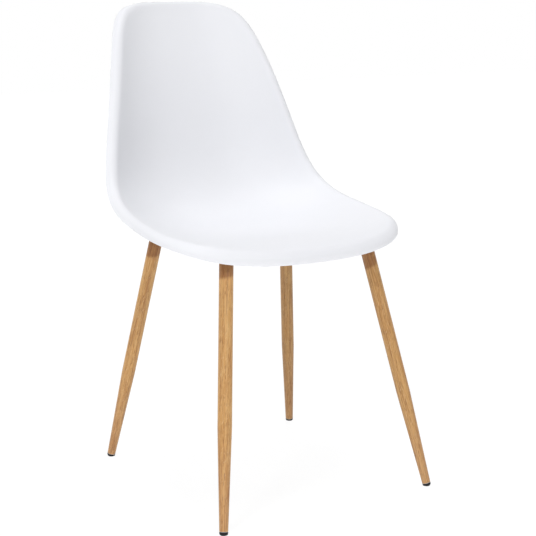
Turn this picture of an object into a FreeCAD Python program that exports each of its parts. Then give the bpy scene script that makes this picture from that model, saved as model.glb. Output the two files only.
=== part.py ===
import FreeCAD, Part

import math
import os

# Moulded plastic shell chair on four straight, tapered steel legs.
# Millimetres and degrees. The chair faces -Y, +Z is up, and left and right are the sitter's, so left is +X.
# The origin is on the floor, under the middle of the chair's bounding box.

Vector = FreeCAD.Vector

# Shell: the sitting face's centre line, which starts at the front edge and climbs to the top of the back
shell_front_y = -227.5
shell_front_z = 447.1
shell_length = 747.9
seat_slope = -4.3
back_slope = 77.9
bend_start = 183.3
bend_end = 533.2
front_roll_angle = 18.9
front_roll_start = -20.0
front_roll_end = 120.0
top_lean_angle = 10.4
top_lean_length = 250.0

# Shell: half widths at every quarter of that line, and how far the sides rise above it at every fifth
front_half_width = 236.7
seat_half_width = 220.8
hip_half_width = 202.2
shoulder_half_width = 164.3
top_half_width = 114.0
front_rise = 4.6
thigh_rise = 22.2
seat_rise = 48.1
hip_rise = 52.1
back_rise = 39.0
top_rise = 24.9
side_rise_power = 2.59
front_outline_powers = (2.28, 6.6)
top_outline_powers = (3.07, 17.3)

# Shell: wall, and the flange that turns back around the whole edge
shell_wall = 4.5
flange_radius_side = 13.2
flange_radius_front = 18.0
flange_turn_side = 86.0
flange_turn_front = 92.0
flange_lip_side = 6.0
flange_lip_front = 2.3
flange_blend_start = 5.0
flange_blend_end = 150.0

# Legs: steel tube, straight from the top and then tapered to the foot
leg_diameter = 24.0
leg_foot_diameter = 14.7
leg_wall = 1.2
leg_taper_length = 168.0
leg_knee_radius = 260.0
front_foot_x = 209.8
front_foot_y = -277.4
rear_foot_x = 201.4
rear_foot_y = 162.6
front_leg_lean_x = 0.159
front_leg_lean_y = 0.240
rear_leg_lean_x = 0.148
rear_leg_lean_y = 0.190

# Feet: plastic plugs pushed into the leg ends
foot_height = 5.0
foot_rounding = 2.0
foot_stem_length = 22.0
foot_stem_clearance = 0.15
foot_groove_count = 3
foot_groove_depth = 0.5
foot_groove_width = 1.6

# M6 fasteners
bolt_diameter = 6.0
bolt_hole_clearance = 0.6
bolt_head_diameter = 10.5
bolt_head_height = 3.3
bolt_socket_width = 4.0
bolt_socket_depth = 2.0
leg_bolt_tip = 1.9
shell_bolt_tip = 0.1
washer_diameter = 12.0
washer_thickness = 1.6
spring_washer_diameter = 11.0
spring_washer_thickness = 1.5
spring_washer_slit = 1.0
large_washer_diameter = 16.0
weld_nut_width = 10.0
weld_nut_height = 5.0
thread_clearance = 0.1
washer_clearance = 0.2

# Frame under the seat: crossed rectangular tubes and a plate at each corner
frame_clearance = 4.6
rail_width = 25.0
rail_height = 15.0
rail_wall = 1.5
rail_corner_radius = 2.5
rail_end_clearance = 3.5
corner_plate_thickness = 3.0
corner_plate_ledge = 4.5
corner_plate_tail = 16.0

# Leg plates: welded on the leg tops and bolted up against the corner plates
leg_plate_thickness = 3.0
leg_plate_edge = 9.5
plate_corner_radius = 8.0
leg_weld_size = 3.0
leg_weld_margin = 2.0
leg_bolt_offset = 13.0
leg_bolt_angles = (120.0, 180.0, 240.0)

# Seat bosses, their threaded inserts, and the pads between them and the frame
front_boss_setback = 24.0
rear_boss_setback = 14.0
boss_diameter = 22.0
boss_draft = 1.5
boss_rib_thickness = 2.5
boss_rib_drop = 3.0
boss_rib_slope = 32.0
insert_diameter = 9.0
insert_length = 8.0
insert_recess = 0.3
insert_groove_depth = 0.5
insert_groove_width = 1.6
insert_clearance = 0.05
boss_hole_spare = 0.7
pad_diameter = 24.0
pad_thickness = 2.0


def ease(t):
    t = min(max(t, 0.0), 1.0)
    return t * t * t * (10.0 - 15.0 * t + 6.0 * t * t)


def smooth_curve(values):
    # A natural cubic spline through values at even stations of 0 to 1.
    last = len(values) - 1
    step = 1.0 / last
    bend = [0.0] * (last + 1)
    for _ in range(60):
        for i in range(1, last):
            kink = (values[i + 1] - 2.0 * values[i] + values[i - 1]) / (step * step)
            bend[i] = (6.0 * kink - bend[i - 1] - bend[i + 1]) / 4.0

    def value(t):
        t = min(max(t, 0.0), 1.0)
        i = min(int(t / step), last - 1)
        a = t - i * step
        b = step - a
        curved = (bend[i] * b**3 + bend[i + 1] * a**3) / (6.0 * step)
        start = (values[i] / step - bend[i] * step / 6.0) * b
        end = (values[i + 1] / step - bend[i + 1] * step / 6.0) * a
        return curved + start + end

    return value


half_width_at = smooth_curve(
    [front_half_width, seat_half_width, hip_half_width, shoulder_half_width, top_half_width]
)
side_rise_at = smooth_curve([front_rise, thigh_rise, seat_rise, hip_rise, back_rise, top_rise])


def profile_angle(s):
    # The centre line's climb, in radians, at a distance s from the front edge.
    angle = seat_slope + (back_slope - seat_slope) * ease((s - bend_start) / (bend_end - bend_start))
    roll = (s - front_roll_start) / (front_roll_end - front_roll_start)
    angle += front_roll_angle * (1.0 - ease(roll))
    angle -= top_lean_angle * ease((s - shell_length + top_lean_length) / top_lean_length)
    return math.radians(angle)


profile_steps = 400
profile_overrun = 0.05


def walk_profile():
    # Points along the centre line, from a little ahead of the front edge to a little past the top.
    step = shell_length * (1.0 + 2.0 * profile_overrun) / profile_steps
    walked = [(0.0, 0.0)]
    for i in range(profile_steps):
        angle = profile_angle((i + 0.5) * step - shell_length * profile_overrun)
        y, z = walked[-1]
        walked.append((y + math.cos(angle) * step, z + math.sin(angle) * step))
    return walked


walked_profile = walk_profile()


def walked_point(s):
    t = (s / shell_length + profile_overrun) / (1.0 + 2.0 * profile_overrun) * profile_steps
    i = min(max(int(t), 0), profile_steps - 1)
    t -= i
    y = walked_profile[i][0] * (1.0 - t) + walked_profile[i + 1][0] * t
    z = walked_profile[i][1] * (1.0 - t) + walked_profile[i + 1][1] * t
    return y, z


walk_start = walked_point(0.0)


def profile_point(s):
    y, z = walked_point(s)
    return y - walk_start[0] + shell_front_y, z - walk_start[1] + shell_front_z


def face_point(x, s):
    # A point of the sitting face, x from the centre line and s along it.
    y, z = profile_point(s)
    angle = profile_angle(s)
    station = s / shell_length
    rise = side_rise_at(station) * (abs(x) / half_width_at(station)) ** side_rise_power
    return Vector(x, y - math.sin(angle) * rise, z + math.cos(angle) * rise)


def face_normal(x, s):
    probe = 0.5
    across = face_point(x + probe, s) - face_point(x - probe, s)
    along = face_point(x, s + probe) - face_point(x, s - probe)
    return across.cross(along).normalize()


def wall_point(x, s, depth):
    # A point in the wall, at a depth under the sitting face.
    return face_point(x, s) - face_normal(x, s) * depth


def outline_reach(across, along):
    # How far the outline lies in this direction, in half widths across and half lengths along.
    power_x, power_s = front_outline_powers if along < 0.0 else top_outline_powers
    low, high = 0.5, 2.0
    for _ in range(40):
        middle = (low + high) / 2.0
        if abs(middle * across) ** power_x + abs(middle * along) ** power_s < 1.0:
            low = middle
        else:
            high = middle
    return (low + high) / 2.0


def outline_place(angle):
    # The outline's point in that direction, in half widths across and half lengths along.
    across, along = math.cos(angle), math.sin(angle)
    reach = outline_reach(across, along)
    return reach * across, reach * along


def face_place(across, along):
    # x and s of a place given in half widths and half lengths.
    s = (1.0 + along) / 2.0 * shell_length
    return across * half_width_at(s / shell_length), s


def flange_size(s):
    # Radius, turn and straight lip of the flange, which is fuller along the front edge.
    side = ease((s - flange_blend_start) / (flange_blend_end - flange_blend_start))
    radius = flange_radius_front + (flange_radius_side - flange_radius_front) * side
    turn = flange_turn_front + (flange_turn_side - flange_turn_front) * side
    lip = flange_lip_front + (flange_lip_side - flange_lip_front) * side
    return radius, math.radians(turn), lip


def flange_point(angle, share, depth):
    # share runs from 0 on the outline to 1 at the flange's free edge; depth is measured into the wall.
    turn_probe = 0.004
    x, s = face_place(*outline_place(angle))
    normal = face_normal(x, s)
    ahead = face_point(*face_place(*outline_place(angle + turn_probe)))
    behind = face_point(*face_place(*outline_place(angle - turn_probe)))
    outward = (ahead - behind).normalize().cross(normal).normalize()
    radius, turn, lip = flange_size(s)
    travel = share * (radius * turn + lip)
    bent = min(travel / radius, turn)
    straight = max(travel - radius * turn, 0.0)
    out = radius * math.sin(bent) + straight * math.cos(turn)
    down = radius * (1.0 - math.cos(bent)) + straight * math.sin(turn)
    skin = face_point(x, s) + outward * out - normal * down
    return skin - (normal * math.cos(bent) + outward * math.sin(bent)) * depth


def curve_through(points):
    curve = Part.BSplineCurve()
    last = len(points) - 1
    curve.interpolate(Points=points, Parameters=[i / last for i in range(last + 1)])
    return curve


def surface_through(rows):
    # A smooth surface through rows of points. Surfaces that share an edge's points share that edge.
    along_rows = [curve_through(row) for row in rows]
    columns = zip(*[curve.getPoles() for curve in along_rows])
    across_rows = [curve_through(list(column)) for column in columns]
    row, column = along_rows[0], across_rows[0]
    surface = Part.BSplineSurface()
    surface.buildFromPolesMultsKnots(
        [curve.getPoles() for curve in across_rows],
        row.getMultiplicities(),
        column.getMultiplicities(),
        row.getKnots(),
        column.getKnots(),
        False,
        False,
        row.Degree,
        column.Degree,
    )
    return surface


def spread(low, high, steps):
    return [low + (high - low) * i / steps for i in range(steps + 1)]


def shell_skin(depth):
    # One face of the wall: a middle panel, four aprons out to the outline, and the flange beyond each.
    core = 0.6
    swings = spread(-1.0, 1.0, 28)
    panel_rows = [[wall_point(*face_place(core * u, core * v), depth) for u in swings] for v in swings]
    surfaces = [surface_through(panel_rows)]
    flanges = []
    for quarter in range(4):
        cosine, sine = (1, 0, -1, 0)[quarter], (0, 1, 0, -1)[quarter]
        angles = [math.radians(90.0 * quarter + 45.0 * swing) for swing in swings]
        starts = [(core * (cosine - sine * swing), core * (sine + cosine * swing)) for swing in swings]
        ends = [outline_place(angle) for angle in angles]
        apron_rows = []
        for share in spread(0.0, 1.0, 8):
            mixed = [(a + (c - a) * share, b + (d - b) * share) for (a, b), (c, d) in zip(starts, ends)]
            apron_rows.append([wall_point(*face_place(*place), depth) for place in mixed])
        turns = spread(0.0, 1.0, 10)
        flange_rows = [[flange_point(angle, share, depth) for angle in angles] for share in turns]
        surfaces.append(surface_through(apron_rows))
        flanges.append(surface_through(flange_rows))
    borders = [flange.vIso(1.0).toShape() for flange in flanges]
    return [surface.toShape() for surface in surfaces + flanges], borders


def shell_blank():
    # Two skins, closed by ruled strips along the flange's free edge.
    sitting_faces, upper_borders = shell_skin(0.0)
    under_faces, lower_borders = shell_skin(shell_wall)
    strips = [Part.makeRuledSurface(upper, lower) for upper, lower in zip(upper_borders, lower_borders)]
    skin = Part.Shell(sitting_faces + under_faces + strips)
    skin.sewShape()
    solid = Part.Solid(skin)
    if solid.Volume < 0.0:
        solid.reverse()
    return solid


def seat_patch(depth):
    # A plain piece of the seat, at a depth under the sitting face, that covers every boss.
    count = 14
    xs = spread(-0.8 * seat_half_width, 0.8 * seat_half_width, count)
    places = spread(0.03 * shell_length, 0.5 * shell_length, count)
    return surface_through([[wall_point(x, s, depth) for x in xs] for s in places]).toShape()


def seat_lowest_z():
    # The lowest height of the seat's underside on the centre line.
    return min(wall_point(0.0, s, shell_wall).z for s in spread(0.1 * shell_length, 0.5 * shell_length, 60))


# Heights of the frame, worked down from the seat
frame_top_z = seat_lowest_z() - frame_clearance
corner_plate_z = frame_top_z - corner_plate_thickness
leg_top_z = corner_plate_z - leg_plate_thickness
rail_bottom_z = corner_plate_z - rail_height
boss_bottom_z = frame_top_z + pad_thickness

# Sizes that follow from the fasteners
bolt_hole_diameter = bolt_diameter + bolt_hole_clearance
boss_hole_depth = insert_recess + insert_length + boss_hole_spare
leg_bolt_grip = spring_washer_thickness + washer_thickness + leg_plate_thickness + corner_plate_thickness
leg_bolt_length = leg_bolt_grip + weld_nut_height + leg_bolt_tip
shell_bolt_grip = washer_thickness + rail_height + corner_plate_thickness + pad_thickness
shell_bolt_length = shell_bolt_grip + insert_recess + insert_length + shell_bolt_tip

# Distances from a leg's axis along its diagonal
leg_bolt_circle = leg_diameter / 2.0 + leg_bolt_offset
rail_end_gap = leg_bolt_circle + leg_plate_edge + rail_end_clearance
front_boss_inset = rail_end_gap + front_boss_setback
rear_boss_inset = rail_end_gap + rear_boss_setback

# Corners: name, side in x, foot x, foot y, lean in x, lean in y, boss inset
corners = [
    ("front_left", 1, front_foot_x, front_foot_y, front_leg_lean_x, front_leg_lean_y, front_boss_inset),
    ("front_right", -1, front_foot_x, front_foot_y, front_leg_lean_x, front_leg_lean_y, front_boss_inset),
    ("rear_left", 1, rear_foot_x, rear_foot_y, rear_leg_lean_x, -rear_leg_lean_y, rear_boss_inset),
    ("rear_right", -1, rear_foot_x, rear_foot_y, rear_leg_lean_x, -rear_leg_lean_y, rear_boss_inset),
]


def leg_axis(corner):
    # The foot's point on the floor and the direction up the leg.
    _, side, foot_x, foot_y, lean_x, lean_y, _ = corner
    return Vector(side * foot_x, foot_y, 0.0), Vector(-side * lean_x, lean_y, 1.0).normalize()


def leg_centre(corner, z):
    foot, up = leg_axis(corner)
    return foot + up * (z / up.z)


def leg_placement(corner):
    foot, up = leg_axis(corner)
    return FreeCAD.Placement(foot, FreeCAD.Rotation(Vector(0, 0, 1), up))


def frame_centre():
    # Where the two diagonals between the leg tops cross.
    front = leg_centre(corners[0], leg_top_z)
    rear = leg_centre(corners[2], leg_top_z)
    share = front.x / (front.x + rear.x)
    return Vector(0.0, front.y + (rear.y - front.y) * share, 0.0)


def turned(start, direction):
    # A placement at start with its x axis along a level direction.
    angle = math.degrees(math.atan2(direction.y, direction.x))
    return FreeCAD.Placement(start, FreeCAD.Rotation(Vector(0, 0, 1), angle))


def corner_place(corner, z):
    # A placement at the leg's top, with its x axis outwards along the diagonal.
    top = leg_centre(corner, leg_top_z)
    return turned(Vector(top.x, top.y, z), top - frame_centre())


def boss_centre(corner, z):
    return corner_place(corner, z).multVec(Vector(-corner[-1], 0.0, 0.0))


def rail_end(corner):
    return corner_place(corner, corner_plate_z).multVec(Vector(-rail_end_gap, 0.0, 0.0))


def leg_bolt_centres(corner, z):
    place = corner_place(corner, z)
    radians = [math.radians(a) for a in leg_bolt_angles]
    return [place.multVec(Vector(math.cos(a), math.sin(a), 0.0) * leg_bolt_circle) for a in radians]


def lifted(point, height):
    return point + Vector(0.0, 0.0, height)


def cylinder(centre, diameter, height):
    return Part.makeCylinder(diameter / 2.0, height, centre)


def ring(centre, outer, inner, height):
    return cylinder(centre, outer, height).cut(cylinder(lifted(centre, -1.0), inner, height + 2.0))


def hexagon(centre, width, height):
    points = []
    for i in range(7):
        angle = math.radians(60.0 * i)
        points.append(centre + Vector(math.cos(angle), math.sin(angle), 0.0) * (width / math.sqrt(3.0)))
    return Part.Face(Part.makePolygon(points)).extrude(Vector(0, 0, height))


def upright_edges(shape):
    return [edge for edge in shape.Edges if abs(edge.Vertexes[0].Z - edge.Vertexes[-1].Z) > 0.5]


def room_under(z):
    # Everything within reach below a level.
    reach = 10.0 * shell_length
    return Part.makeBox(reach, reach, reach, Vector(-reach / 2.0, -reach / 2.0, z - reach))


def largest_solid(shape):
    return max(shape.Solids, key=lambda solid: solid.Volume)


def make_boss(corner, height):
    # A drafted boss and its four ribs, which spread outwards as they rise.
    centre = boss_centre(corner, boss_bottom_z)
    radius = boss_diameter / 2.0
    top_radius = radius + height * math.tan(math.radians(boss_draft))
    boss = Part.makeCone(radius, top_radius, height, centre)
    spread = radius + (height - boss_rib_drop) / math.tan(math.radians(boss_rib_slope))
    outline = [(-radius, boss_rib_drop), (radius, boss_rib_drop), (spread, height), (-spread, height)]
    points = [Vector(x, -boss_rib_thickness / 2.0, z) for x, z in outline]
    for turn in (0.0, 90.0):
        ribs = Part.Face(Part.makePolygon(points + points[:1])).extrude(Vector(0.0, boss_rib_thickness, 0.0))
        ribs.Placement = FreeCAD.Placement(centre, FreeCAD.Rotation(Vector(0, 0, 1), turn))
        boss = boss.fuse(ribs)
    return boss


def make_seat_shell():
    # The bosses end in the middle of the wall, so that nothing shows on the sitting face.
    boss_height = 10.0 * insert_length
    under_wall = seat_patch(shell_wall / 2.0).extrude(Vector(0, 0, -boss_height))
    shell = shell_blank()
    for corner in corners:
        shell = shell.fuse(make_boss(corner, boss_height).common(under_wall))
    for corner in corners:
        hole = cylinder(boss_centre(corner, boss_bottom_z - 1.0), insert_diameter, boss_hole_depth + 1.0)
        shell = shell.cut(hole)
    return shell


def make_insert(corner):
    # A threaded insert with two grooves that the plastic grips.
    base = boss_centre(corner, boss_bottom_z + insert_recess)
    outer = insert_diameter - 2.0 * insert_clearance
    insert = ring(base, outer, bolt_diameter + 2.0 * thread_clearance, insert_length)
    for i in (1, 2):
        low = lifted(base, insert_length * i / 3.0 - insert_groove_width / 2.0)
        groove = ring(low, 2.0 * outer, outer - 2.0 * insert_groove_depth, insert_groove_width)
        insert = insert.cut(groove)
    return insert


def make_bolt(seat, length):
    # A button-head bolt pointing up, with its head under the point seat.
    head = cylinder(lifted(seat, -bolt_head_height), bolt_head_diameter, bolt_head_height)
    low_rim = [edge for edge in head.Edges if edge.Closed and edge.CenterOfMass.z < seat.z - 0.1]
    head = head.makeFillet(bolt_head_height * 0.7, low_rim)
    socket = hexagon(lifted(seat, -bolt_head_height), bolt_socket_width, bolt_socket_depth)
    return head.fuse(cylinder(seat, bolt_diameter, length)).cut(socket)


def make_washer(base, diameter):
    return ring(base, diameter, bolt_diameter + 2.0 * washer_clearance, washer_thickness)


def make_spring_washer(base):
    inner = bolt_diameter + 2.0 * washer_clearance
    washer = ring(base, spring_washer_diameter, inner, spring_washer_thickness)
    slit_low = base + Vector(0.0, -spring_washer_slit / 2.0, -1.0)
    return washer.cut(
        Part.makeBox(spring_washer_diameter, spring_washer_slit, spring_washer_thickness + 2.0, slit_low)
    )


def make_weld_nut(base):
    hole = cylinder(lifted(base, -1.0), bolt_diameter + 2.0 * thread_clearance, weld_nut_height + 2.0)
    return hexagon(base, weld_nut_width, weld_nut_height).cut(hole)


def rail_bar(start, end, inset):
    # A rounded bar between two points, its top at their height, or the tube's bore when inset by its wall.
    direction = end - start
    width, height = rail_width - 2.0 * inset, rail_height - 2.0 * inset
    bar = Part.makeBox(direction.Length, width, height, Vector(0.0, -width / 2.0, inset - rail_height))
    long_edges = [edge for edge in bar.Edges if abs(edge.Length - direction.Length) < 0.001]
    bar = bar.makeFillet(rail_corner_radius - inset, long_edges)
    bar.Placement = turned(start, direction)
    return bar


def make_rail(start, end, drilled_corners):
    # A rectangular tube, drilled right through for the shell bolts.
    rail = rail_bar(start, end, 0.0).cut(rail_bar(start, end, rail_wall))
    for corner in drilled_corners:
        hole = cylinder(boss_centre(corner, rail_bottom_z - 1.0), bolt_hole_diameter, rail_height + 2.0)
        rail = rail.cut(hole)
    return rail


def make_rails():
    # One rail runs right through; the other is in two halves that butt against its sides.
    front_left, front_right, rear_left, rear_right = corners
    centre = lifted(frame_centre(), corner_plate_z)
    through = make_rail(rail_end(front_left), rail_end(rear_right), [front_left, rear_right])
    crossing = rail_bar(rail_end(front_left), rail_end(rear_right), 0.0)
    front_half = make_rail(rail_end(front_right), centre, [front_right]).cut(crossing)
    rear_half = make_rail(rail_end(rear_left), centre, [rear_left]).cut(crossing)
    return through, largest_solid(front_half), largest_solid(rear_half)


def drilled_plate(corner, z, thickness, half_outline, holes):
    # A flat plate of one mirrored outline with rounded corners and bolt holes.
    outline = half_outline + [(x, -y) for x, y in reversed(half_outline)]
    points = [Vector(x, y, 0.0) for x, y in outline]
    plate = Part.Face(Part.makePolygon(points + points[:1])).extrude(Vector(0, 0, thickness))
    plate = plate.makeFillet(plate_corner_radius, upright_edges(plate))
    plate.Placement = corner_place(corner, z)
    for hole in holes:
        plate = plate.cut(cylinder(lifted(hole, -1.0), bolt_hole_diameter, thickness + 2.0))
    return plate


def plate_front(edge):
    # The outline's points round the leg and beside the two outer bolts, on one side.
    nose = leg_diameter / 2.0 + leg_weld_size + leg_weld_margin
    outer_angle = math.radians(leg_bolt_angles[0])
    bolt_x = leg_bolt_circle * math.cos(outer_angle)
    side = leg_bolt_circle * math.sin(outer_angle) + edge
    return [(nose, nose / 2.0), (bolt_x + edge, side), (bolt_x - edge, side)]


def make_corner_plate(corner):
    # Wide above the leg's plate, and narrow where it lies along the rail.
    tail = corner[-1] + corner_plate_tail
    half_tail = rail_width / 2.0 + corner_plate_ledge
    outline = plate_front(leg_plate_edge) + [(-rail_end_gap - half_tail / 2.0, half_tail), (-tail, half_tail)]
    holes = leg_bolt_centres(corner, corner_plate_z) + [boss_centre(corner, corner_plate_z)]
    return drilled_plate(corner, corner_plate_z, corner_plate_thickness, outline, holes)


def make_leg_plate(corner):
    # A rounded plate with the fillet weld that joins it to the leg.
    heel = leg_bolt_circle + leg_plate_edge
    outline = plate_front(leg_plate_edge) + [(-heel, leg_plate_edge)]
    holes = leg_bolt_centres(corner, leg_top_z)
    plate = drilled_plate(corner, leg_top_z, leg_plate_thickness, outline, holes)
    return plate.fuse(make_leg_weld(corner))


def make_leg_weld(corner):
    # A cone of weld round the leg, wider at the plate.
    _, up = leg_axis(corner)
    top = leg_centre(corner, leg_top_z)
    radius = leg_diameter / 2.0
    base = top - up * leg_weld_size
    cone = Part.makeCone(radius, radius + 2.0 * leg_weld_size, 2.0 * leg_weld_size, base, up)
    leg = Part.makeCylinder(radius, 6.0 * leg_weld_size, top - up * (3.0 * leg_weld_size), up)
    return cone.common(room_under(leg_top_z)).cut(leg)


def leg_bar(corner, inset):
    # The leg's outside, or its bore when inset by the wall; it runs past the leg's top.
    radius = leg_diameter / 2.0 - inset
    foot_radius = leg_foot_diameter / 2.0 - inset
    top = leg_top_z / leg_axis(corner)[1].z + leg_diameter
    taper = Vector(radius - foot_radius, 0.0, leg_taper_length).normalize()
    knee = Vector(radius, 0.0, foot_height + leg_taper_length)
    reach = leg_knee_radius * math.tan(math.atan2(taper.x, taper.z) / 2.0)
    low = knee - taper * reach
    high = lifted(knee, reach)
    to_centre = Vector(-1.0, 0.0, 0.0) * leg_knee_radius
    inward = ((low + high) * 0.5 - knee).normalize()
    middle = high + to_centre - inward * leg_knee_radius
    foot = Vector(foot_radius, 0.0, foot_height)
    foot_axis, top_axis = Vector(0.0, 0.0, foot_height), Vector(0.0, 0.0, top)
    edges = [
        Part.LineSegment(foot_axis, foot).toShape(),
        Part.LineSegment(foot, low).toShape(),
        Part.Arc(low, middle, high).toShape(),
        Part.LineSegment(high, Vector(radius, 0.0, top)).toShape(),
        Part.LineSegment(Vector(radius, 0.0, top), top_axis).toShape(),
        Part.LineSegment(top_axis, foot_axis).toShape(),
    ]
    bar = Part.Face(Part.Wire(edges)).revolve(Vector(0, 0, 0), Vector(0, 0, 1), 360.0)
    bar.Placement = leg_placement(corner)
    return bar


def make_leg(corner):
    return leg_bar(corner, 0.0).cut(leg_bar(corner, leg_wall)).common(room_under(leg_top_z))


def make_foot(corner):
    # A cap as wide as the leg's end, rounded below and cut flat on the floor, with a grooved stem.
    radius = leg_foot_diameter / 2.0
    cap = Part.makeCylinder(radius, 2.0 * foot_height, Vector(0.0, 0.0, -foot_height))
    reach = foot_height - foot_rounding
    dome = Part.makeSphere(math.hypot(radius, reach), Vector(0.0, 0.0, foot_height))
    stem_diameter = leg_foot_diameter - 2.0 * (leg_wall + foot_stem_clearance)
    stem = cylinder(Vector(0.0, 0.0, foot_height), stem_diameter, foot_stem_length)
    for i in range(foot_groove_count):
        low = Vector(0.0, 0.0, foot_height + foot_stem_length * (i + 1.0) / (foot_groove_count + 1.0))
        groove = ring(low, 2.0 * stem_diameter, stem_diameter - 2.0 * foot_groove_depth, foot_groove_width)
        stem = stem.cut(groove)
    foot = cap.common(dome).fuse(stem)
    foot.Placement = leg_placement(corner)
    return foot.cut(room_under(0.0))


def fastener_groups():
    # Each kind of fastener is one group of separate solids.
    groups = {
        "leg_bolts": [],
        "leg_bolt_washers": [],
        "leg_spring_washers": [],
        "weld_nuts": [],
        "shell_bolts": [],
        "shell_bolt_washers": [],
        "shell_inserts": [],
        "seat_pads": [],
    }
    for corner in corners:
        for spot in leg_bolt_centres(corner, leg_top_z - washer_thickness):
            spring_base = lifted(spot, -spring_washer_thickness)
            groups["leg_bolt_washers"].append(make_washer(spot, washer_diameter))
            groups["leg_spring_washers"].append(make_spring_washer(spring_base))
            groups["leg_bolts"].append(make_bolt(spring_base, leg_bolt_length))
        for spot in leg_bolt_centres(corner, frame_top_z):
            groups["weld_nuts"].append(make_weld_nut(spot))
        washer_base = boss_centre(corner, rail_bottom_z - washer_thickness)
        groups["shell_bolt_washers"].append(make_washer(washer_base, large_washer_diameter))
        groups["shell_bolts"].append(make_bolt(washer_base, shell_bolt_length))
        groups["shell_inserts"].append(make_insert(corner))
        pad_base = boss_centre(corner, frame_top_z)
        groups["seat_pads"].append(ring(pad_base, pad_diameter, bolt_hole_diameter, pad_thickness))
    return {name: Part.Compound(solids) for name, solids in groups.items()}


def main():
    os.makedirs("parts", exist_ok=True)
    through, front_half, rear_half = make_rails()
    nodes = {
        "seat_shell": make_seat_shell(),
        "frame_rail_through": through,
        "frame_rail_front_half": front_half,
        "frame_rail_rear_half": rear_half,
    }
    for corner in corners:
        nodes["corner_plate_" + corner[0]] = make_corner_plate(corner)
        nodes["leg_plate_" + corner[0]] = make_leg_plate(corner)
        nodes["leg_" + corner[0]] = make_leg(corner)
        nodes["foot_" + corner[0]] = make_foot(corner)
    nodes.update(fastener_groups())
    for name, shape in nodes.items():
        shape.exportStep("parts/" + name + ".step")
        print(name, len(shape.Solids), "solids", round(shape.Volume / 1000.0, 2), "cm3", shape.isValid())
    print("frame top", round(frame_top_z, 2), "leg top", round(leg_top_z, 2))


main()
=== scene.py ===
import math

import bmesh
import bpy
import numpy as np
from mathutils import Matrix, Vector
from mathutils.bvhtree import BVHTree


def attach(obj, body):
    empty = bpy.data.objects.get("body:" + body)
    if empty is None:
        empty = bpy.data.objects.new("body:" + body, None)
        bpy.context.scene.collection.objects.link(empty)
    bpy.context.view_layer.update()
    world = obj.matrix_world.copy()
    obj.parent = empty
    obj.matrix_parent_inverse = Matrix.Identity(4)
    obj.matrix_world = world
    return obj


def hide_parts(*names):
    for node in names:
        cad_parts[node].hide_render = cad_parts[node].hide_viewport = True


# A moulded plastic shell chair, worked out in millimetres and put into Blender in metres.
# It faces -Y, and left and right are the sitter's, so left is +X.

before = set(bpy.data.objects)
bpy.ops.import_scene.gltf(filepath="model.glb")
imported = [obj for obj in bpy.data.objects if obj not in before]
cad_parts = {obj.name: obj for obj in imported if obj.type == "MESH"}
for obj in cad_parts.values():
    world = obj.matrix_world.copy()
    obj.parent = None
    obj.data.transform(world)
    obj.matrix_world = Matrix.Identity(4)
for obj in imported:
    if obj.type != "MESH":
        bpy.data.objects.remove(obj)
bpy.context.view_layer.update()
mm = 0.001
print("frame loaded:", len(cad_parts), "nodes")


class Wire:
    # a node's output, which takes part in Python expressions by way of Math nodes
    def __init__(self, paint, socket):
        self.paint = paint
        self.socket = socket

    def maths(self, operation, *values):
        return self.paint.node("ShaderNodeMath", {"operation": operation}, values)

    def __add__(self, other):
        return self.maths("ADD", self, other)

    def __radd__(self, other):
        return self.maths("ADD", other, self)

    def __sub__(self, other):
        return self.maths("SUBTRACT", self, other)

    def __rsub__(self, other):
        return self.maths("SUBTRACT", other, self)

    def __mul__(self, other):
        return self.maths("MULTIPLY", self, other)

    def __rmul__(self, other):
        return self.maths("MULTIPLY", other, self)


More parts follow.
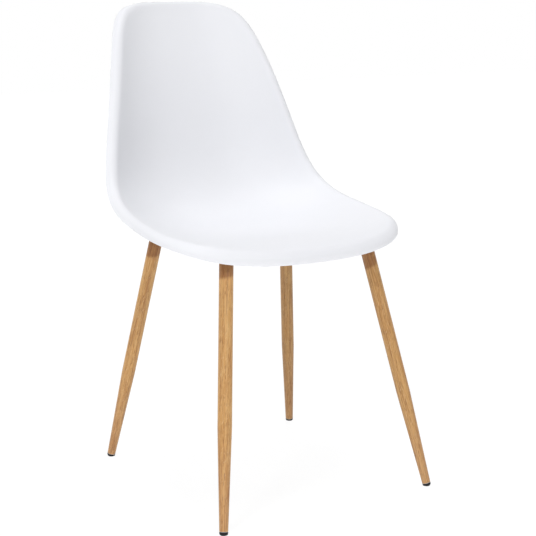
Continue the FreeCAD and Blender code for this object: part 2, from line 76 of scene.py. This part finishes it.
class Paint:
    # the node tree of one material, or of the world
    def __init__(self, owner):
        owner.use_nodes = True
        self.owner = owner
        self.tree = owner.node_tree
        self.tree.nodes.clear()

    def node(self, kind, settings=None, inputs=(), output=0):
        made = self.tree.nodes.new(kind)
        for key, value in (settings or {}).items():
            setattr(made, key, value)
        pairs = inputs.items() if isinstance(inputs, dict) else enumerate(inputs)
        for key, value in pairs:
            if isinstance(value, Wire):
                self.tree.links.new(value.socket, made.inputs[key])
            elif value is not None:
                made.inputs[key].default_value = value
        return Wire(self, made.outputs[output] if made.outputs else None)

    def mix(self, factor, colourA, colourB, blend="MIX"):
        # the node's colours are its inputs 6 and 7 and its output 2
        settings = {"data_type": "RGBA", "blend_type": blend}
        return self.node("ShaderNodeMix", settings, {0: factor, 6: colourA, 7: colourB}, 2)

    def dot(self, vector, direction):
        settings = {"operation": "DOT_PRODUCT"}
        return self.node("ShaderNodeVectorMath", settings, [vector, direction], "Value")

    def join(self, x, y, z):
        return self.node("ShaderNodeCombineXYZ", None, [x, y, z])

    def stretch(self, value, low, high, newLow=0.0, newHigh=1.0):
        settings = {"clamp": True, "interpolation_type": "SMOOTHSTEP"}
        return self.node("ShaderNodeMapRange", settings, [value, low, high, newLow, newHigh])

    def spread(self, noise, newLow, newHigh):
        # most of a noise's values lie between 0.3 and 0.7
        return self.stretch(noise, 0.3, 0.7, newLow, newHigh)

    def noise(self, vector, scale, detail=2.0, roughness=0.5):
        inputs = {"Vector": vector, "Scale": scale, "Detail": detail, "Roughness": roughness}
        return self.node("ShaderNodeTexNoise", None, inputs)

    def turned(self, place, across, upward):
        # the fine rings that turning or rolling leaves around an upright axis
        axes = ((1.0, 0.0, 0.0), (0.0, 1.0, 0.0), (0.0, 0.0, 1.0))
        x, y, z = [self.dot(place, axis) for axis in axes]
        return self.noise(self.join(x * across, y * across, z * upward), 1.0)

    def place(self):
        return self.node("ShaderNodeTexCoord", output="Object")

    def bump(self, height, depth, strength):
        inputs = {"Strength": strength, "Distance": depth, "Height": height}
        return self.node("ShaderNodeBump", None, inputs)

    def surface(self, inputs):
        shader = self.node("ShaderNodeBsdfPrincipled", None, inputs)
        self.node("ShaderNodeOutputMaterial", None, [shader])
        return self.owner

    def seen(self):
        # 1 for the rays that show a surface itself, 0 for those that only carry its light
        names = ("Is Camera Ray", "Is Glossy Ray", "Is Transmission Ray")
        camera, glossy, through = [self.node("ShaderNodeLightPath", output=name) for name in names]
        total = camera + glossy + through
        return total.maths("MINIMUM", total, 1.0)


def screen(red, green, blue):
    # a colour read off the screen, 0 to 255, as the light it stands for
    levels = [value / 255.0 for value in (red, green, blue)]
    light = [v / 12.92 if v <= 0.04045 else ((v + 0.055) / 1.055) ** 2.4 for v in levels]
    return tuple(light) + (1.0,)


def grey(level):
    return (level, level, level, 1.0)


shellForm = {
    "frontEdge": (-227.5, 447.1),       # y and z of the face's front edge on the centre line
    "length": 747.9,                    # along the face, from the front edge to the top
    "seatSlope": -4.3,
    "backSlope": 77.9,
    "bend": (183.3, 533.2),             # where the bend from seat to back starts and ends
    "frontRoll": (18.9, -20.0, 120.0),  # degrees, and where it starts and ends
    "topLean": (10.4, 250.0),           # degrees, over this length
    "halfWidths": (236.7, 220.8, 202.2, 164.3, 114.0),       # at even stations, from the front
    "sideRises": (4.6, 22.2, 48.1, 52.1, 39.0, 24.9),
    "risePower": 2.59,
    "frontPowers": (2.28, 6.6),         # of the outline's corners, across and along
    "topPowers": (3.07, 17.3),
    "wall": 4.5,
    "flangeRadius": (18.0, 13.2),       # at the front, at the sides
    "flangeTurn": (92.0, 86.0),
    "flangeLip": (2.3, 6.0),
    "flangeBlend": (5.0, 150.0),        # from the front's flange to the sides' one
    "lipRounding": 1.1,
    "core": 0.6,                        # the middle panel's share of half the length and width
    "profileSteps": 1600,
    "overrun": 0.05,                    # how far the centre line goes on at its ends, by its length
    "weld": 0.03,
    "across": 64,                       # how many faces the mesh has each way, from here on
    "along": 120,
    "apron": 26,
    "roll": 14,
    "straight": 6,
    "corner": 4,
}


def ease(t):
    t = np.clip(t, 0.0, 1.0)
    return t * t * t * (10.0 - 15.0 * t + 6.0 * t * t)


def smoothThrough(values):
    # a natural cubic spline through values at even stations of 0 to 1
    values = np.array(values)
    last = len(values) - 1
    step = 1.0 / last
    weights = np.eye(last + 1)
    kinks = np.zeros(last + 1)
    for i in range(1, last):
        weights[i, i - 1:i + 2] = (1.0, 4.0, 1.0)
        kinks[i] = 6.0 * (values[i + 1] - 2.0 * values[i] + values[i - 1]) / step ** 2
    bend = np.linalg.solve(weights, kinks)

    def value(t):
        t = np.clip(t, 0.0, 1.0)
        i = np.minimum((t / step).astype(int), last - 1)
        a = t - i * step
        b = step - a
        curved = (bend[i] * b ** 3 + bend[i + 1] * a ** 3) / (6.0 * step)
        start = (values[i] / step - bend[i] * step / 6.0) * b
        return curved + start + (values[i + 1] / step - bend[i + 1] * step / 6.0) * a

    return value


halfWidthAt = smoothThrough(shellForm["halfWidths"])
sideRiseAt = smoothThrough(shellForm["sideRises"])


def profileAngle(s):
    form = shellForm
    bendStart, bendEnd = form["bend"]
    rollAngle, rollStart, rollEnd = form["frontRoll"]
    leanAngle, leanLength = form["topLean"]
    turn = ease((s - bendStart) / (bendEnd - bendStart))
    angle = form["seatSlope"] + (form["backSlope"] - form["seatSlope"]) * turn
    angle = angle + rollAngle * (1.0 - ease((s - rollStart) / (rollEnd - rollStart)))
    angle = angle - leanAngle * ease((s - form["length"] + leanLength) / leanLength)
    return np.radians(angle)


def walkProfile():
    # the centre line in short steps, a little past both of its ends
    form = shellForm
    beyond = form["overrun"] * form["length"]
    stations = np.linspace(-beyond, form["length"] + beyond, form["profileSteps"] + 1)
    middles = profileAngle((stations[1:] + stations[:-1]) / 2.0)
    step = stations[1] - stations[0]
    y = np.concatenate([[0.0], np.cumsum(np.cos(middles) * step)])
    z = np.concatenate([[0.0], np.cumsum(np.sin(middles) * step)])
    frontY, frontZ = form["frontEdge"]
    y += frontY - np.interp(0.0, stations, y)
    z += frontZ - np.interp(0.0, stations, z)
    return stations, y, z


profileStations, profileY, profileZ = walkProfile()


def facePoint(x, s):
    # a point of the sitting face, x from the centre line and s along it
    angle = profileAngle(s)
    station = s / shellForm["length"]
    rise = sideRiseAt(station) * (np.abs(x) / halfWidthAt(station)) ** shellForm["risePower"]
    y = np.interp(s, profileStations, profileY) - np.sin(angle) * rise
    z = np.interp(s, profileStations, profileZ) + np.cos(angle) * rise
    return np.stack([x + 0.0 * y, y, z], axis=-1)


def unit(vectors):
    return vectors / np.linalg.norm(vectors, axis=-1, keepdims=True)


def faceNormal(x, s):
    probe = 0.5
    across = facePoint(x + probe, s) - facePoint(x - probe, s)
    along = facePoint(x, s + probe) - facePoint(x, s - probe)
    return unit(np.cross(across, along))


def wallPoint(x, s, depth):
    return facePoint(x, s) - faceNormal(x, s) * depth


def outlinePlace(angle):
    # the outline's point in that direction, in half widths across and half lengths along
    halvings = 40
    across, along = np.cos(angle), np.sin(angle)
    ahead = along < 0.0
    powerX, powerS = [np.where(ahead, front, top) for front, top in
                      zip(shellForm["frontPowers"], shellForm["topPowers"])]
    low, high = np.full(angle.shape, 0.5), np.full(angle.shape, 2.0)
    for _ in range(halvings):
        middle = (low + high) / 2.0
        inside = np.abs(middle * across) ** powerX + np.abs(middle * along) ** powerS < 1.0
        low, high = np.where(inside, middle, low), np.where(inside, high, middle)
    return low * across, low * along


def facePlace(across, along):
    s = (1.0 + along) / 2.0 * shellForm["length"]
    return across * halfWidthAt(s / shellForm["length"]), s


def flangeSize(s):
    # radius, turn and lip of the flange, which is fuller along the front edge
    start, end = shellForm["flangeBlend"]
    side = ease((s - start) / (end - start))
    radius, turn, lip = [a + (b - a) * side for a, b in
                         (shellForm[key] for key in ("flangeRadius", "flangeTurn", "flangeLip"))]
    return radius, np.radians(turn), lip


def flangePoint(angle, rolled, straight, depth):
    # rolled is the share of the turn that is done, straight the share of the lip after it
    probe = 0.004
    x, s = facePlace(*outlinePlace(angle))
    normal = faceNormal(x, s)
    ahead = facePoint(*facePlace(*outlinePlace(angle + probe)))
    behind = facePoint(*facePlace(*outlinePlace(angle - probe)))
    outward = unit(np.cross(unit(ahead - behind), normal))
    radius, turn, lip = flangeSize(s)
    bent = (turn * rolled)[..., None]
    turn, radius = turn[..., None], radius[..., None]
    down = (lip * straight)[..., None]
    out = radius * np.sin(bent) + down * np.cos(turn)
    drop = radius * (1.0 - np.cos(bent)) + down * np.sin(turn)
    skin = facePoint(x, s) + outward * out - normal * drop
    return skin - (normal * np.cos(bent) + outward * np.sin(bent)) * depth


def flangePath():
    # from the outline over the edge and back inside; each step has its share of the turn, its
    # share of the lip up to the rounding, its depth in the wall and its way into the rounding
    form = shellForm
    wall, rounding = form["wall"], form["lipRounding"]
    over = [(t, 0.0) for t in np.linspace(0.0, 1.0, form["roll"] + 1)]
    over += [(1.0, t) for t in np.linspace(0.0, 1.0, form["straight"] + 1)[1:]]
    corner = [(math.sin(a) * rounding, (1.0 - math.cos(a)) * rounding)
              for a in np.linspace(0.0, math.pi / 2.0, form["corner"] + 1)[1:]]
    edge = [(1.0, 1.0, deep, out) for out, deep in corner]
    edge += [(1.0, 1.0, wall - deep, out) for out, deep in reversed(corner)]
    outside = [(r, t, 0.0, 0.0) for r, t in over]
    return outside + edge + [(r, t, wall, 0.0) for r, t in reversed(over)]


def flangeGrid(angles):
    rows = []
    lip = flangeSize(facePlace(*outlinePlace(angles))[1])[2]
    for rolled, straight, depth, extra in flangePath():
        share = straight * (1.0 - shellForm["lipRounding"] / lip) + extra / lip
        rows.append(flangePoint(angles, np.full(angles.shape, rolled), share, depth))
    return np.array(rows)


def shellGrids():
    # a middle panel, four aprons from it out to the outline, and the flange around them
    form = shellForm
    core = form["core"]
    across = np.linspace(-1.0, 1.0, form["across"] + 1)
    along = np.linspace(-1.0, 1.0, form["along"] + 1)
    grids = []
    for depth in (0.0, form["wall"]):
        u, v = np.meshgrid(core * across, core * along)
        grids.append(wallPoint(*facePlace(u, v), depth))
    for quarter in range(4):
        cosine, sine = (1, 0, -1, 0)[quarter], (0, 1, 0, -1)[quarter]
        swings = along if quarter % 2 == 0 else across
        angles = np.radians(90.0 * quarter + 45.0 * swings)
        startX, startS = core * (cosine - sine * swings), core * (sine + cosine * swings)
        endX, endS = outlinePlace(angles)
        shares = np.linspace(0.0, 1.0, form["apron"] + 1)[:, None]
        u, v = startX + (endX - startX) * shares, startS + (endS - startS) * shares
        for depth in (0.0, form["wall"]):
            grids.append(wallPoint(*facePlace(u, v), depth))
        grids.append(flangeGrid(angles))
    return grids


def meshFrom(name, grids, weld=0.001):
    # one mesh from grids of points in millimetres; points nearer than weld become one
    mesh = bmesh.new()
    for grid in grids:
        rows = [[mesh.verts.new(Vector(p) * mm) for p in row] for row in grid]
        for low, high in zip(rows, rows[1:]):
            for i in range(len(low) - 1):
                mesh.faces.new((low[i], low[i + 1], high[i + 1], high[i]))
    bmesh.ops.remove_doubles(mesh, verts=mesh.verts, dist=weld * mm)
    bmesh.ops.recalc_face_normals(mesh, faces=mesh.faces)
    for face in mesh.faces:
        face.smooth = True
    data = bpy.data.meshes.new(name)
    mesh.to_mesh(data)
    mesh.free()
    made = bpy.data.objects.new(name, data)
    bpy.context.scene.collection.objects.link(made)
    return made


bosses = {
    "centres": ((95.48, -132.15), (-95.48, -132.15), (99.21, 45.64), (-99.21, 45.64)),
    "bottom": 439.02,
    "radius": 11.0,
    "draft": 1.5,
    "draftHeight": 8.0,                 # above it the side goes straight up into the wall
    "holeRadius": 4.5,
    "holeDepth": 9.0,
    "holeBevel": 0.4,
    "edge": 0.6,
    "corner": 4,
    "around": 48,
    "ribThickness": 2.5,
    "ribDrop": 3.0,
    "ribSlope": 32.0,
    "ribReach": (7.5, 120.0),           # from the boss's axis, at most to where it meets the seat
    "ribStations": 226,
    "ribEnd": 0.4,                      # the height that is left where it ends
    "sink": 1.5,                        # how far a boss or a rib runs into the wall
    "probeDrop": 60.0,                  # the height is felt for from this far below the bosses
}


def underFinder(shell):
    # the height of the shell's underside over a point of the floor
    points = [v.co for v in shell.data.vertices]
    tree = BVHTree.FromPolygons(points, [f.vertices for f in shell.data.polygons])
    upward = Vector((0.0, 0.0, 1.0))

    def height(x, y):
        start = Vector((x, y, bosses["bottom"] - bosses["probeDrop"])) * mm
        return tree.ray_cast(start, upward)[0].z / mm

    return height


def bossGrid(centre, height):
    # turned about its own axis, from the blind end of the hole out and up into the wall
    size = bosses
    radius, edge, hole, bevel = [size[key] for key in ("radius", "edge", "holeRadius", "holeBevel")]
    slant = math.tan(math.radians(size["draft"]))
    path = [(0.0, size["holeDepth"]), (hole, size["holeDepth"]), (hole, bevel), (hole + bevel, 0.0)]
    path += [(radius - edge + math.sin(a) * edge, (1.0 - math.cos(a)) * edge)
             for a in np.linspace(0.0, math.pi / 2.0, size["corner"] + 1)]
    path += [(radius + slant * size["draftHeight"], size["draftHeight"])]
    grid = [[(centre[0] + math.cos(a) * r, centre[1] + math.sin(a) * r, size["bottom"] + z)
             for a in np.linspace(0.0, 2.0 * math.pi, size["around"] + 1)] for r, z in path]
    grid.append([(x, y, height(x, y) + size["sink"]) for x, y, _ in grid[-1]])
    grid.append([(centre[0], centre[1], height(*centre) + size["sink"])] * (size["around"] + 1))
    return grid


def ribGrids(centre, turn, height):
    # a plate that leaves the boss and thins out under the seat as it rises
    size = bosses
    slope = math.tan(math.radians(size["ribSlope"]))
    ahead = (math.cos(turn), math.sin(turn))
    stations, low, high = [], [], []
    for distance in np.linspace(*size["ribReach"], size["ribStations"]):
        x, y = centre[0] + ahead[0] * distance, centre[1] + ahead[1] * distance
        stations.append((x, y))
        rise = max(distance - size["radius"], 0.0) * slope
        low.append(size["bottom"] + size["ribDrop"] + rise)
        high.append(height(x, y) + size["sink"])
        if low[-1] > high[-1] - size["ribEnd"]:
            break
    half = size["ribThickness"] / 2.0
    sides = []
    for side in (-half, half):
        across = (-ahead[1] * side, ahead[0] * side)
        sides.append([[(x + across[0], y + across[1], z) for (x, y), z in zip(stations, level)]
                      for level in (low, high)])
    left, right = sides
    ends = [[[left[0][i], left[1][i]], [right[0][i], right[1][i]]] for i in (0, -1)]
    return [left, right, [left[0], right[0]], [left[1], right[1]]] + ends


def unite(body, additions):
    # the additions become part of the body's mesh and leave the scene
    for addition in additions:
        union = body.modifiers.new("join", "BOOLEAN")
        union.operation = "UNION"
        union.solver = "MANIFOLD"
        union.object = addition
    bpy.context.view_layer.update()
    joined = body.evaluated_get(bpy.context.evaluated_depsgraph_get())
    whole = bpy.data.meshes.new_from_object(joined)
    body.modifiers.clear()
    body.data = whole
    for addition in additions:
        bpy.data.objects.remove(addition)


def makeShell():
    shell = meshFrom("shell_body", shellGrids(), shellForm["weld"])
    height = underFinder(shell)
    additions = []
    for number, centre in enumerate(bosses["centres"]):
        additions.append(meshFrom("boss_%d" % number, [bossGrid(centre, height)]))
        for quarter in range(4):
            grids = ribGrids(centre, math.radians(90.0 * quarter), height)
            additions.append(meshFrom("rib_%d_%d" % (number, quarter), grids))
    unite(shell, additions)
    return shell


shell = makeShell()
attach(shell, "root")
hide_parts("seat_shell")
print("shell:", len(shell.data.vertices), "points")


def shellPlastic():
    # satin white with the mould's fine spark texture
    paint = Paint(bpy.data.materials.new("shell_plastic"))
    place = paint.place()
    spark = paint.noise(place, scale=1400.0, detail=3.0, roughness=0.6)
    cloud = paint.noise(place, scale=9.0)
    return paint.surface({
        "Base Color": paint.mix(cloud, (0.868, 0.876, 0.912, 1.0), (0.884, 0.890, 0.922, 1.0)),
        "Roughness": paint.spread(spark, 0.42, 0.52) + paint.spread(cloud, -0.02, 0.02),
        "Specular IOR Level": 0.25,
        "Normal": paint.bump(spark, depth=0.00003, strength=0.4),
    })


# Foot is where the leg's axis meets the floor, lean its x and y for each step up, tone the film's
# brightness, and the last entry the height in metres at which the shade painted on the top starts.
legs = {
    "leg_front_left": {
        "foot": (209.8, -277.4), "lean": (-0.159, 0.240), "tone": 0.84, "paintedShadeFrom": 0.406},
    "leg_front_right": {
        "foot": (-209.8, -277.4), "lean": (0.159, 0.240), "tone": 0.95, "paintedShadeFrom": 0.419},
    "leg_rear_left": {
        "foot": (201.4, 162.6), "lean": (-0.148, -0.190), "tone": 0.76, "paintedShadeFrom": 0.432},
    "leg_rear_right": {
        "foot": (-201.4, 162.6), "lean": (0.148, -0.190), "tone": 0.92, "paintedShadeFrom": 0.406},
}

oak = {
    "grain": {                          # to the metre across and along, then detail and roughness
        "broad": (85.0, 5.0, 3.0, 0.55),
        "figure": (360.0, 9.0, 3.0, 0.6),
        "fibre": (760.0, 26.0, 3.0, 0.6),
        "pore": (1000.0, 75.0, 2.0, 0.5),
        "fleck": (420.0, 130.0, 2.0, 0.5),
    },
    "shift": 13.0,                      # from one leg's grain to the next one's
    "wander": 1.4,                      # how far the broad tone bends the figure
    "fleckSlant": 0.30,
    "ground": ((0.32, 0.68), screen(194, 142, 83), screen(219, 170, 106)),
    "layers": (                         # where each starts and is full, its share and its colour
        ("figure", (0.50, 0.62), 0.62, screen(164, 112, 64)),
        ("fibre", (0.46, 0.62), 0.50, screen(229, 188, 130)),
        ("pore", (0.55, 0.66), 0.60, screen(132, 84, 46)),
        ("fleck", (0.60, 0.72), 0.35, screen(236, 204, 158)),
    ),
    "lowTint": (0.84, 0.80, 0.92),      # what the film's colour is multiplied by near the foot
    "lowSpan": (0.20, 0.02),            # metres up the leg where that starts and is full
    "lowShare": 0.75,
    "paintedShadeTint": (0.60, 0.49, 0.43),      # and at the top: painted shade, where the seat shades the leg
    "paintedShadeSlant": 0.25,
    "paintedShadeBlend": (-0.003, 0.004),        # metres around where the painted shade starts
    "bareSpan": (0.0057, 0.0054),       # the line of bare steel above the cap
    "bareColour": (0.50, 0.49, 0.47, 1.0),
    "poreSpan": (0.58, 0.70),           # the pores that are pressed in
}


def oakFilm(name, leg, shift):
    # printed oak grain along the leg: broad tone, figure, fibres, dark pores, pale slanted flecks,
    # and painted shade on its top where the seat shades it
    paint = Paint(bpy.data.materials.new(name))
    axis = Vector(leg["lean"] + (1.0,)).normalized()
    side = axis.cross(Vector((0.0, 1.0, 0.0))).normalized()
    foot = Vector(leg["foot"] + (0.0,)) * mm
    settings = {"operation": "SUBTRACT"}
    place = paint.node("ShaderNodeVectorMath", settings, [paint.place(), tuple(foot)])
    u, v, along = [paint.dot(place, tuple(way)) for way in (side, side.cross(axis), axis)]

    def grain(key, ways, drifts):
        across, lengthways, detail, roughness = oak["grain"][key]
        scales = (across, across, lengthways)
        drawn = [way * scale + drift for way, scale, drift in zip(ways, scales, drifts)]
        return paint.noise(paint.join(*drawn), 1.0, detail, roughness)

    def tinted(tint):
        return tuple(leg["tone"] * part for part in tint) + (1.0,)

    ways = (u, v, along)
    slant = along * oak["fleckSlant"]
    broad = grain("broad", ways, (shift, 0.0, 0.0))
    fibre = grain("fibre", ways, (0.0, shift, 0.0))
    pore = grain("pore", ways, (shift, 0.0, 0.0))
    noises = {
        "figure": grain("figure", ways, (shift, 0.0, broad * oak["wander"])),
        "fibre": fibre,
        "pore": pore,
        "fleck": grain("fleck", (u + slant, v + slant, along), (0.0, 0.0, 0.0)),
    }
    span, dark, light = oak["ground"]
    colour = paint.mix(paint.stretch(broad, *span), dark, light)
    for key, span, share, tint in oak["layers"]:
        colour = paint.mix(paint.stretch(noises[key], *span) * share, colour, tint)
    low = paint.stretch(along, *oak["lowSpan"]) * oak["lowShare"]
    # painted shade: the film's colour is darkened at the top, slanted across the leg, where the
    # seat's shadow falls
    paintedShadeSpan = [leg["paintedShadeFrom"] + part for part in oak["paintedShadeBlend"]]
    top = paint.stretch(along + u * oak["paintedShadeSlant"], *paintedShadeSpan)
    # the film's tint near the foot, then the painted shade at the top
    tintAndPaintedShade = paint.mix(low, tinted((1.0, 1.0, 1.0)), tinted(oak["lowTint"]))
    tintAndPaintedShade = paint.mix(top, tintAndPaintedShade, tinted(oak["paintedShadeTint"]))
    bare = paint.stretch(along, *oak["bareSpan"])
    pressed = paint.stretch(pore, *oak["poreSpan"])
    return paint.surface({
        "Base Color": paint.mix(bare, paint.mix(1.0, colour, tintAndPaintedShade, "MULTIPLY"), oak["bareColour"]),
        "Metallic": bare,
        "Roughness": paint.spread(fibre, 0.40, 0.52) - paint.spread(broad, 0.0, 0.04),
        "Specular IOR Level": 0.4,
        "Normal": paint.bump(fibre - pressed, depth=0.00004, strength=0.5),
    })


def mouldedBlack():
    paint = Paint(bpy.data.materials.new("foot_plastic"))
    place = paint.place()
    grain = paint.noise(place, scale=1300.0, detail=3.0, roughness=0.6)
    wear = paint.noise(place, scale=160.0)
    return paint.surface({
        "Base Color": paint.mix(wear, (0.006, 0.006, 0.007, 1.0), (0.012, 0.012, 0.013, 1.0)),
        "Roughness": paint.spread(grain, 0.48, 0.62),
        "Specular IOR Level": 0.25,
        "Normal": paint.bump(grain, depth=0.00004, strength=0.5),
    })


def powderCoat():
    # black powder coat with its orange peel and a little dust
    paint = Paint(bpy.data.materials.new("frame_paint"))
    place = paint.place()
    peel = paint.noise(place, scale=520.0)
    grit = paint.noise(place, scale=2400.0, roughness=0.6)
    dust = paint.noise(place, scale=24.0, detail=4.0, roughness=0.6)
    dustSpan = (0.45, 0.75)
    black, dusty = (0.020, 0.020, 0.022, 1.0), (0.042, 0.042, 0.043, 1.0)
    return paint.surface({
        "Base Color": paint.mix(paint.stretch(dust, *dustSpan), black, dusty),
        "Roughness": paint.spread(grit, 0.46, 0.60) + paint.stretch(dust, *dustSpan, 0.0, 0.08),
        "Normal": paint.bump(peel + grit * 0.3, depth=0.00006, strength=0.5),
    })


def zincPlate():
    # bright zinc, turned or rolled, a little cloudy and faintly yellow in places
    paint = Paint(bpy.data.materials.new("zinc_steel"))
    place = paint.place()
    turned = paint.turned(place, across=120.0, upward=4200.0)
    cloud = paint.noise(place, scale=210.0, detail=3.0, roughness=0.6)
    cloudSpan = (0.35, 0.7)
    bright, yellow = (0.58, 0.60, 0.63, 1.0), (0.66, 0.65, 0.60, 1.0)
    return paint.surface({
        "Base Color": paint.mix(paint.stretch(cloud, *cloudSpan), bright, yellow),
        "Metallic": 1.0,
        "Roughness": paint.spread(turned, 0.26, 0.38) + paint.stretch(cloud, *cloudSpan, 0.0, 0.08),
        "Normal": paint.bump(turned, depth=0.00002, strength=0.4),
    })


def turnedBrass():
    paint = Paint(bpy.data.materials.new("insert_brass"))
    place = paint.place()
    turned = paint.turned(place, across=150.0, upward=3800.0)
    tarnish = paint.noise(place, scale=260.0, detail=3.0, roughness=0.6)
    return paint.surface({
        "Base Color": paint.mix(tarnish, (0.72, 0.50, 0.20, 1.0), (0.60, 0.40, 0.17, 1.0)),
        "Metallic": 1.0,
        "Roughness": paint.spread(turned, 0.28, 0.40),
        "Normal": paint.bump(turned, depth=0.00002, strength=0.4),
    })


def padRubber():
    # black rubber with a pale bloom in places
    paint = Paint(bpy.data.materials.new("pad_rubber"))
    place = paint.place()
    grain = paint.noise(place, scale=1800.0, detail=3.0, roughness=0.6)
    bloom = paint.stretch(paint.noise(place, scale=120.0, detail=3.0, roughness=0.6), 0.4, 0.75)
    return paint.surface({
        "Base Color": paint.mix(bloom, (0.018, 0.018, 0.018, 1.0), (0.036, 0.035, 0.034, 1.0)),
        "Roughness": paint.spread(grain, 0.74, 0.88),
        "Normal": paint.bump(grain, depth=0.00005, strength=0.5),
    })


def dress(thing, material):
    thing.data.materials.clear()
    thing.data.materials.append(material)


def dressAll():
    coat, zinc = powderCoat(), zincPlate()
    black, brass, rubber = mouldedBlack(), turnedBrass(), padRubber()
    dress(shell, shellPlastic())
    for name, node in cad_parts.items():
        if name in legs:
            shift = oak["shift"] * sorted(legs).index(name)
            dress(node, oakFilm(name + "_film", legs[name], shift))
        elif name.startswith("foot"):
            dress(node, black)
        elif name.startswith(("frame", "corner_plate", "leg_plate")):
            dress(node, coat)
        elif name == "seat_pads":
            dress(node, rubber)
        elif name == "shell_inserts":
            dress(node, brass)
        elif name != "seat_shell":
            dress(node, zinc)


dressAll()
print("finishes set")

studio = {
    "floorHalf": 8.0,
    "lighting": (0.85, 0.46),           # grey and glow of the floor where it lights the chair
    "shown": (0.16, 0.90),              # and where it is seen
    "ambient": ((0.90, 0.93, 1.0, 1.0), 0.03),
    # azimuth from the chair's front to its left, height, strength and softness, angles in degrees;
    # right and left lamps are so as the camera sees them
    "lamps": {
        "overhead": (0.0, 90.0, 1.25, 26.0),
        "key": (-62.0, 40.0, 0.97, 16.0),
        "right": (-2.0, 30.0, 0.80, 20.0),
        "left": (-122.0, 30.0, 0.38, 20.0),
        "back": (148.0, 60.0, 0.36, 30.0),
    },
}


def makeFloor():
    half = studio["floorHalf"] / mm
    grid = [[(-half, -half, 0.0), (half, -half, 0.0)], [(-half, half, 0.0), (half, half, 0.0)]]
    floor = meshFrom("floor", [grid])
    paint = Paint(bpy.data.materials.new("floor_pale"))
    looks = []
    for level, glow in (studio["lighting"], studio["shown"]):
        lit = paint.node("ShaderNodeBsdfDiffuse", None, {"Color": grey(level)})
        glowing = paint.node("ShaderNodeEmission", None, {"Color": grey(1.0), "Strength": glow})
        looks.append(paint.node("ShaderNodeAddShader", None, [lit, glowing]))
    both = paint.node("ShaderNodeMixShader", None, [paint.seen()] + looks)
    paint.node("ShaderNodeOutputMaterial", None, [both])
    dress(floor, paint.owner)


def makeWorld():
    paint = Paint(bpy.data.worlds.new("studio"))
    bpy.context.scene.world = paint.owner
    soft = paint.node("ShaderNodeBackground", None, studio["ambient"])
    white = paint.node("ShaderNodeBackground", None, [grey(1.0), 1.0])
    shown = paint.node("ShaderNodeMixShader", None, [paint.seen(), soft, white])
    paint.node("ShaderNodeOutputWorld", None, [shown])


def makeLamp(name, azimuth, height, strength, softness):
    lamp = bpy.data.lights.new(name, "SUN")
    lamp.energy = strength
    lamp.angle = math.radians(softness)
    made = bpy.data.objects.new(name, lamp)
    azimuth, height = math.radians(azimuth), math.radians(height)
    level = math.cos(height)
    source = Vector((math.sin(azimuth) * level, -math.cos(azimuth) * level, math.sin(height)))
    made.rotation_euler = (-source).to_track_quat("-Z", "Y").to_euler()
    bpy.context.scene.collection.objects.link(made)


makeFloor()
makeWorld()
for name, settings in studio["lamps"].items():
    makeLamp(name, *settings)

cameraView = {
    "place": (-1.2460, -2.0723, 0.8843),
    "target": (0.02271, -0.04107, 0.37486),
    "lens": 91.29,
    "sensor": 36.0,
}


def makeCamera():
    data = bpy.data.cameras.new("camera")
    data.lens = cameraView["lens"]
    data.sensor_width = cameraView["sensor"]
    camera = bpy.data.objects.new("camera", data)
    place, target = Vector(cameraView["place"]), Vector(cameraView["target"])
    camera.location = place
    camera.rotation_euler = (target - place).to_track_quat("-Z", "Y").to_euler()
    bpy.context.scene.collection.objects.link(camera)
    bpy.context.scene.camera = camera


makeCamera()
bpy.context.scene.view_settings.view_transform = "Standard"
print("studio ready")
